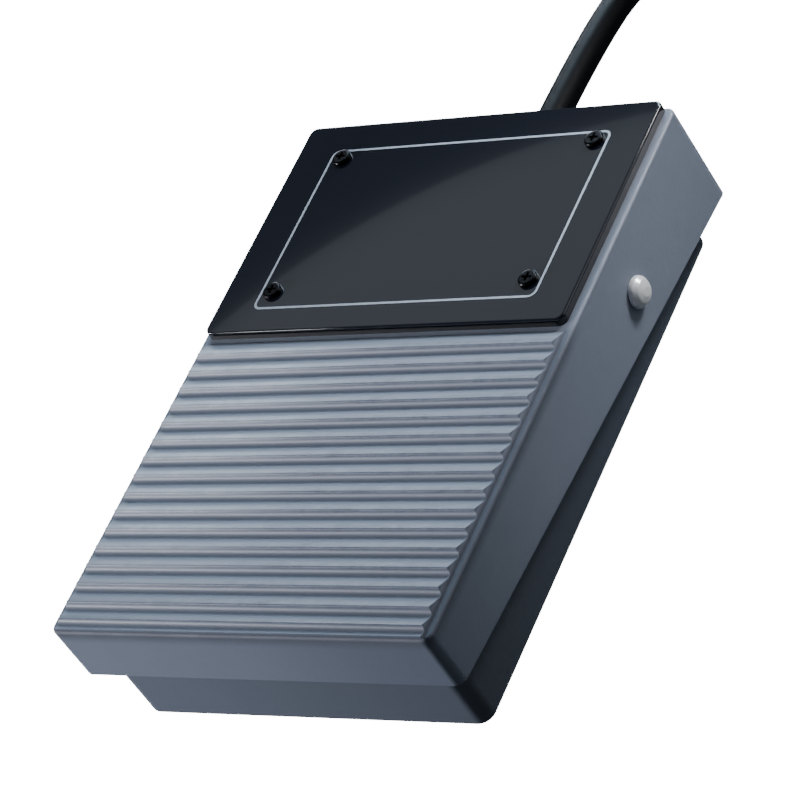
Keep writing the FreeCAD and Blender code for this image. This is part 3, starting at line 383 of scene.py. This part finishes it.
board_finish = plastic("board_laminate", shade(34, 104, 58), shade(26, 88, 48), roughness=0.3)
chip_finish = plastic("chip_epoxy", shade(36, 36, 38), shade(28, 28, 30), roughness=0.55)
can_finish = metal("crystal_can", shade(214, 214, 216), shade(192, 194, 198), roughness=0.3)
nylon_finish = plastic("header_nylon", shade(226, 224, 214), shade(214, 211, 200), roughness=0.4)
wire_finish = plastic("wire_insulation", shade(170, 44, 36), shade(150, 34, 28), roughness=0.4)
dress(board_finish, "controller_board")
dress(chip_finish, "controller_chip", "capacitor")
dress(can_finish, "crystal")
dress(nylon_finish, "wire_header")
dress(wire_finish, "switch_leads", "cable_cores")

# The return spring is a compression coil of bare spring wire. It stands between the base's floor and the
# cover, round a seat and a stud, and the tilting cover presses it shorter.

spring_low, spring_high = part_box("return_spring")
spring_wire = 0.0006
spring_turns = 6.5
spring_steps = 24
spring_radius = (spring_high.x - spring_low.x) / 2 - spring_wire
spring_middle = (spring_low + spring_high) / 2
spring_rise = spring_high.z - spring_low.z - 2 * spring_wire
spring_curve = bpy.data.curves.new("spring_wire", "CURVE")
spring_curve.dimensions = "3D"
spring_curve.bevel_depth = spring_wire
spring_curve.bevel_resolution = 4
spring_curve.use_fill_caps = True
spring_line = spring_curve.splines.new("POLY")
spring_count = round(spring_turns * spring_steps)
spring_line.points.add(spring_count)
for i, point in enumerate(spring_line.points):
    angle = 2 * math.pi * i / spring_steps
    point.co = (
        spring_middle.x + spring_radius * math.cos(angle),
        spring_middle.y + spring_radius * math.sin(angle),
        spring_low.z + spring_wire + spring_rise * i / spring_count,
        1.0,
    )
spring_mesh = bpy.data.meshes.new_from_object(bpy.data.objects.new("spring_wire", spring_curve))
for polygon in spring_mesh.polygons:
    polygon.use_smooth = True
spring_mesh.materials.append(spring_finish.material)
spring = bpy.data.objects.new("coil_spring", spring_mesh)
bpy.context.scene.collection.objects.link(spring)
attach(spring, "base")
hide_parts("return_spring")
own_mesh(spring)

# The pivot pin is turned steel with a domed head, and a cap like it is pushed on its other end. Both have
# nickel given a near-white colour and little metalness, a painted reflection of the white room that reads
# as pale gloss more than as metal.

pin_finish = metal("bright_steel", shade(250, 252, 254), shade(240, 243, 246), roughness=0.24, scratch=0.003)
pin_finish.set(Metallic=0.25)
dress(pin_finish, "pivot_pin", "pin_cap")

# The cover is the other casting, a lid with a ribbed tread, in the same paint. Its crests are lighter,
# partly as wear and partly as a painted highlight, with painted light towards the rear left and painted
# shade elsewhere; painted shade darkens its grooves, the top of its sides in front of the plate, and its
# front right corner. It tilts on the pin.

crest_z = (0.02480, 0.02515)
crest_light_x = (-0.026, 0.006)
crest_light_y = (-0.052, -0.026)
crest_wear_and_highlight_amount = 0.4
scuff_amount = 0.35
scuff_patch = 0.004
crest_highlight = shade(188, 194, 202)
crest_shade = shade(72, 80, 94)
corner_shade_x = (-0.015, 0.036)
corner_shade_y = (-0.058, -0.012)
corner_shade_amount = 0.55
corner_shade_colour = shade(80, 88, 102)
groove_z = (0.0215, 0.0238)
groove_top_z = (0.0242, 0.0249)
groove_rear_y = (0.002, 0.010)
groove_shade_patch = 0.005
groove_shade_least = 0.75
groove_shade_change = 0.3
groove_shade_roughness = 0.3
cover_roughness = 0.34
groove_shade_colour = shade(84, 90, 102)

cover_finish = cast_paint("cover_paint", shade(125, 134, 149), shade(117, 126, 141))
cover_x, cover_y, cover_z = (cover_finish.along(axis) for axis in "XYZ")

# Painted light on the crests: brighter towards the rear left, painted shade elsewhere.
crest_light_tone = cover_finish.mix(
    (1 - cover_x.between(*crest_light_x)) * cover_y.between(*crest_light_y),
    crest_shade,
    crest_highlight,
)
# The crests are lighter, partly as wear and partly as a painted highlight.
scuffs = cover_finish.noise(scuff_patch, detail=4.0, rough=0.7).between(0.35, 0.7)
crest_wear_and_highlight = cover_z.between(*crest_z) * (scuffs * scuff_amount + crest_wear_and_highlight_amount)
cover_finish.colour = cover_finish.mix(crest_wear_and_highlight, cover_finish.colour, crest_light_tone)

# Painted shade towards the front right corner, where the light falls off.
corner_shade = cover_x.between(*corner_shade_x) * (1 - cover_y.between(*corner_shade_y))
cover_finish.colour = cover_finish.mix(corner_shade * corner_shade_amount, cover_finish.colour, corner_shade_colour)

# Painted shade in the grooves and along the top of the sides in front of the plate, which also makes them
# rougher.
groove = cover_z.between(*groove_z) * (1 - cover_z.between(*groove_top_z))
groove_front = 1 - cover_y.between(*groove_rear_y)
groove_shade = groove * groove_front * (groove_shade_least + cover_finish.noise(groove_shade_patch) * groove_shade_change)
cover_finish.set(
    Base_Color=cover_finish.mix(groove_shade, cover_finish.colour, groove_shade_colour),
    Roughness=cover_finish.unevenness + groove_shade * groove_shade_roughness + cover_roughness,
)
dress(cover_finish, "pedal_cover")

# The plate is polished black acrylic, its sawn edge painted darker as shade, with a thin silver border line
# printed on it. Four small blackened cross-recess screws hold it down on the cover.

plate_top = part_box("cover_plate")[1].z
plate_face_z = (plate_top - 0.0005, plate_top - 0.0002)
plate_edge_shade = shade(5, 5, 8)
plate_finish = Finish("gloss_plate", Roughness=0.06, Coat_Weight=0.6, Coat_Roughness=0.02, IOR=1.49)
plate_face = plate_finish.mix(plate_finish.noise(0.02), shade(24, 27, 35), shade(28, 31, 40))
# Painted shade: the sawn edge is darker than the top.
on_top = plate_finish.along("Z").between(*plate_face_z)
plate_finish.set(Base_Color=plate_finish.mix(on_top, plate_edge_shade, plate_face))
dress(plate_finish, "cover_plate")

screw_finish = Finish("black_steel", Metallic=0.85)
screw_finish.set(
    Base_Color=screw_finish.mix(screw_finish.noise(0.001), shade(20, 20, 23), shade(12, 12, 14)),
    Roughness=screw_finish.noise(0.0008) * 0.2 + 0.22,
)
dress(screw_finish, "plate_screws")

border_half = 0.0263
border_front = 0.0117
border_rear = 0.0450
border_corner = 0.0012
line_half = 0.0002
print_rise = 0.00002


def border_ring(grown, corner_steps=8):
    """Points round the border's line, moved outwards from its middle by grown."""
    radius = border_corner + grown
    side = border_half - border_corner
    rear = border_rear - border_corner
    front = border_front + border_corner
    points = []
    for x, y, start in ((side, rear, 0), (-side, rear, 90), (-side, front, 180), (side, front, 270)):
        for k in range(corner_steps + 1):
            angle = math.radians(start + 90 * k / corner_steps)
            points.append((x + radius * math.cos(angle), y + radius * math.sin(angle)))
    return points


border_form = bmesh.new()
border_rings = []
for grown, rise in ((line_half, -1), (line_half, 1), (-line_half, 1), (-line_half, -1)):
    level = plate_top + rise * print_rise
    border_rings.append([border_form.verts.new((x, y, level)) for x, y in border_ring(grown)])
border_count = len(border_rings[0])
for lower, upper in zip(border_rings, border_rings[1:] + border_rings[:1]):
    for i in range(border_count):
        after = (i + 1) % border_count
        border_form.faces.new((lower[i], lower[after], upper[after], upper[i]))
bmesh.ops.recalc_face_normals(border_form, faces=border_form.faces)
border_mesh = bpy.data.meshes.new("plate_border")
border_form.to_mesh(border_mesh)
border_form.free()
border_finish = Finish("silver_print", Metallic=0.5)
border_finish.set(
    Base_Color=border_finish.mix(border_finish.noise(0.001), shade(196, 200, 208), shade(160, 166, 176)),
    Roughness=border_finish.noise(0.0006) * 0.2 + 0.3,
)
border_mesh.materials.append(border_finish.material)
border = bpy.data.objects.new("plate_border", border_mesh)
bpy.context.scene.collection.objects.link(border)
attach(border, "pedal")

# The cord is 1.8 m of round jacketed lead, 5.1 mm thick. It comes level out of its strain relief and drops
# to the floor. What the photograph does not show is wound in a neat coil, tied with a strap, and the
# moulded plug with its steel shell lies beside it.

relief_end = 0.059
cord_height = 0.01135
cord_radius = 0.00255
coil_outer = 0.0347
coil_pitch = 0.0053
coil_layers = 4
coil_layer_rise = 0.0053
coil_climb_turns = 0.5
coil_turns = 9.11111
coil_rest = 0.00305
coil_start = math.radians(-40)
coil_y = 0.158
coil_steps = 18


def coil_place(turned_by):
    """A point of the coil, which runs in and out again layer by layer and climbs while it turns back."""
    each = coil_turns / coil_layers
    layer = min(coil_layers - 1, int(turned_by // each))
    part_way = turned_by - layer * each
    radius = coil_outer - coil_pitch * (part_way if layer % 2 == 0 else each - part_way)
    climbed = 0.0
    for k in range(1, coil_layers):
        climbed += min(1.0, max(0.0, (turned_by - each * k) / coil_climb_turns + 0.5))
    angle = coil_start + 2 * math.pi * turned_by
    return Vector(
        (radius * math.cos(angle), coil_y + radius * math.sin(angle), coil_rest + coil_layer_rise * climbed)
    )


coil_count = round(coil_turns * coil_steps)
route = [
    Vector((0, relief_end, cord_height)),
    Vector((0, 0.080, 0.0112)),
    Vector((0, 0.1015, 0.0078)),
    Vector((0.01217, 0.11765, coil_rest)),
]
route += [coil_place(coil_turns * i / coil_count) for i in range(coil_count + 1)]
route += [
    Vector((0.0352, coil_y + 0.0194, 0.01895)),
    Vector((0.0334, coil_y + 0.0312, 0.0130)),
    Vector((0.0254, coil_y + 0.0409, 0.0074)),
    Vector((0.0131, coil_y + 0.0460, 0.00405)),
    Vector((-0.0005, coil_y + 0.0460, 0.00405)),
]
cord_curve = bpy.data.curves.new("cord", "CURVE")
cord_curve.dimensions = "3D"
cord_curve.bevel_depth = cord_radius
cord_curve.bevel_resolution = 5
cord_curve.resolution_u = 6
cord_curve.use_fill_caps = True
cord_line = cord_curve.splines.new("NURBS")
cord_line.points.add(len(route) - 1)
for point, place in zip(cord_line.points, route):
    point.co = (*place, 1.0)
cord_line.order_u = 3
cord_line.use_endpoint_u = True
cord_finish = plastic(
    "cord_jacket", shade(19, 20, 22), shade(13, 14, 16), roughness=0.5, grain=0.0009, depth=0.000012
)
cord_finish.set(Specular_IOR_Level=0.15)
cord_curve.materials.append(cord_finish.material)
cord = bpy.data.objects.new("cord", cord_curve)
bpy.context.scene.collection.objects.link(cord)
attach(cord, "base")
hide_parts("cord_lead", "cord_coil", "cord_tail")

moulded_finish = plastic("moulded_black", shade(32, 33, 36), shade(24, 25, 27), roughness=0.5)
shell_finish = metal("plug_steel", shade(222, 224, 228), shade(204, 207, 212), roughness=0.22)
strap_finish = plastic(
    "tie_strap", shade(36, 37, 40), shade(26, 27, 30), roughness=0.6, grain=0.0003, depth=0.00003
)
dress(cord_finish, "cord_inner")
dress(moulded_finish, "strain_relief", "plug_boot")
dress(strap_finish, "cord_tie")
dress(shell_finish, "plug_shell")
dress(nylon_finish, "plug_tongue")
dress(brass_finish, "plug_contacts")
